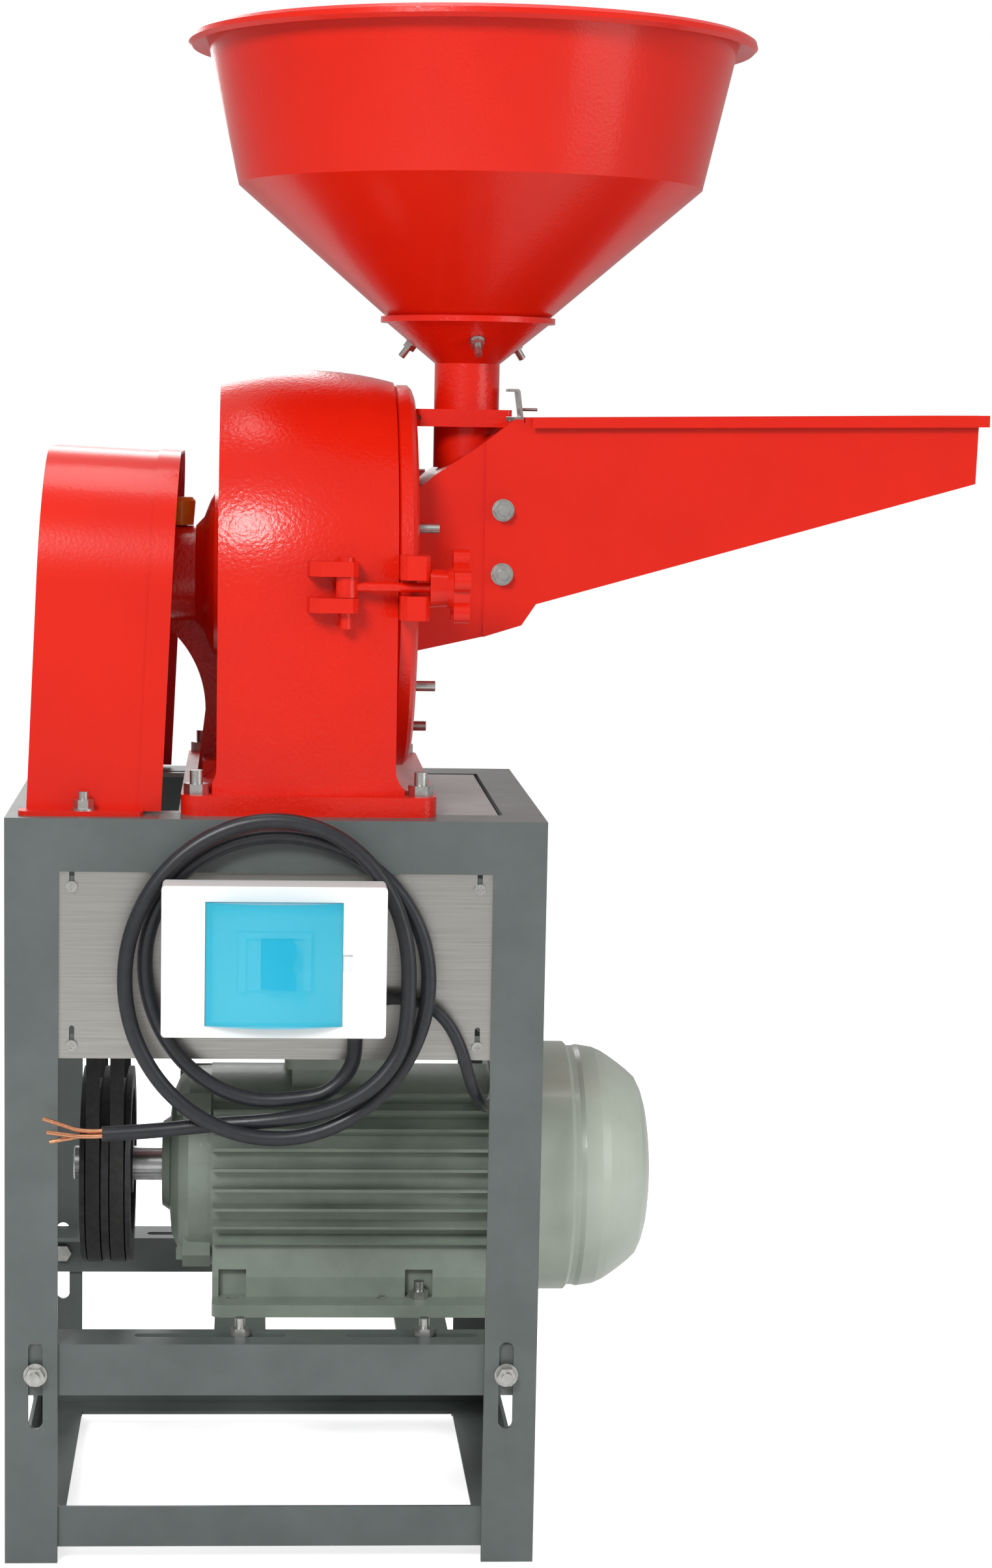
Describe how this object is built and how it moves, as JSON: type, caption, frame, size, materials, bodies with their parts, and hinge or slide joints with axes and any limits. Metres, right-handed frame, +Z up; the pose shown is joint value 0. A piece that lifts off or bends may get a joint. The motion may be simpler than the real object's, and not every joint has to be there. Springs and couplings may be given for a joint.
{
  "type": "electric grain mill",
  "caption": "Claw mill on an angle-iron stand with a belt-driven motor below, a round hopper, a side feed tray, a hinged front cover, a breaker box and a wound power lead.",
  "frame": {"origin": "middle of the bounding box's bottom, on the floor plane", "axes": "+Z up, +X from the belt guard towards the feed tray, +Y from the breaker box side to the back"},
  "size_m": [0.753, 0.481, 1.168],
  "materials": {
    "frame_grey": "satin",
    "red_paint": "gloss",
    "stainless": "brushed",
    "zinc_steel": "satin",
    "bright_steel": "satin",
    "cast_iron": "matte",
    "motor_paint": "satin",
    "cowl_paint": "satin",
    "rotor_steel": "matte",
    "fan_plastic": "matte",
    "knob_plastic": "gloss",
    "oil_cap_orange": "gloss",
    "belt_rubber": "matte",
    "box_white": "gloss",
    "window_blue": "gloss",
    "toggle_blue": "gloss",
    "lead_rubber": "satin",
    "copper": "satin"
  },
  "bodies": {
    "stand": {"leg_front_left": "frame_grey", "leg_front_right": "frame_grey", "leg_back_left": "frame_grey", "leg_back_right": "frame_grey", "top_rails": "frame_grey", "bottom_rails": "frame_grey", "deck_plate": "frame_grey", "discharge_chute": "frame_grey", "mill_housing": "red_paint", "bearing_housing": "red_paint", "belt_guard": "red_paint", "front_panel": "stainless", "panel_screws": "stainless", "mill_base_bolts": "zinc_steel", "guard_bolts": "zinc_steel", "latch_pin": "zinc_steel", "hinge_pins": "zinc_steel", "bearing_caps": "zinc_steel", "spindle_bearings": "bright_steel", "ring_sieve": "bright_steel", "v_belts": "belt_rubber", "breaker_base": "box_white", "breaker_cover": "box_white", "breaker_switch": "box_white", "power_lead_coil": "lead_rubber", "power_lead_tail": "lead_rubber", "motor_cable": "lead_rubber", "cable_glands": "lead_rubber", "lead_cores": "copper"},
    "motor_base": {"motor_rails": "frame_grey", "rail_bolts": "zinc_steel", "crossbars": "frame_grey", "motor_bolts": "zinc_steel", "motor_frame": "motor_paint", "motor_bells": "motor_paint", "motor_bearings": "bright_steel", "stator": "rotor_steel", "motor_cowl": "cowl_paint", "terminal_box": "motor_paint"},
    "rotor": {"motor_rotor": "rotor_steel", "motor_pulley": "cast_iron", "motor_fan": "fan_plastic"},
    "mill_spindle": {"spindle": "bright_steel", "spindle_pulley": "cast_iron", "claw_disc": "cast_iron"},
    "cover": {"mill_cover": "red_paint", "cover_bolts": "zinc_steel", "fixed_claw_disc": "cast_iron", "feed_box": "red_paint", "inlet_neck": "red_paint", "hopper": "red_paint", "feed_tray": "red_paint", "feed_bolts": "zinc_steel"},
    "gate": {"feed_gate": "zinc_steel"},
    "lock_bolt": {"swing_bolt": "zinc_steel"},
    "knob": {"star_knob": "knob_plastic"},
    "oil_cup_cap": {"oil_cap": "oil_cap_orange"},
    "window": {"breaker_window": "window_blue"},
    "lever": {"breaker_lever": "toggle_blue"}
  },
  "joints": [
    {"name": "motor_height", "type": "slide", "parent": "stand", "child": "motor_base", "axis": [0, 0, 1], "range_m": [-0.004, 0.02], "deforming": ["v_belts", "motor_cable"]},
    {"name": "motor_spin", "type": "hinge", "parent": "motor_base", "child": "rotor", "pos_m": [-0.1265, 0.0185, 0.268], "axis": [1, 0, 0], "continuous": true},
    {"name": "mill_spin", "type": "hinge", "parent": "stand", "child": "mill_spindle", "pos_m": [-0.2465, 0.0185, 0.748], "axis": [1, 0, 0], "continuous": true},
    {"name": "cover_swing", "type": "hinge", "parent": "stand", "child": "cover", "pos_m": [-0.0735, 0.1845, 0.748], "axis": [0, 0, 1], "range_deg": [0, 105]},
    {"name": "gate_slide", "type": "slide", "parent": "cover", "child": "gate", "axis": [1, 0, 0], "range_m": [0, 0.05]},
    {"name": "bolt_swing", "type": "hinge", "parent": "cover", "child": "lock_bolt", "pos_m": [-0.1245, -0.1515, 0.748], "axis": [0, 0, 1], "range_deg": [-100, 0]},
    {"name": "knob_turn", "type": "hinge", "parent": "lock_bolt", "child": "knob", "pos_m": [-0.0465, -0.1515, 0.748], "axis": [1, 0, 0], "continuous": true},
    {"name": "oil_cap_turn", "type": "hinge", "parent": "stand", "child": "oil_cup_cap", "pos_m": [-0.251, 0.0185, 0.797], "axis": [0, 0, 1], "continuous": true},
    {"name": "window_swing", "type": "hinge", "parent": "stand", "child": "window", "pos_m": [-0.2236, -0.2285, 0.4765], "axis": [0, 0, 1], "range_deg": [-95, 0]},
    {"name": "lever_turn", "type": "hinge", "parent": "stand", "child": "lever", "pos_m": [-0.1735, -0.2135, 0.475], "axis": [0, 0, 1], "range_deg": [-58, 0]}
  ],
  "couplings": [
    {"joint": "mill_spin", "follows": "motor_spin", "ratio": 1.7556}
  ]
}
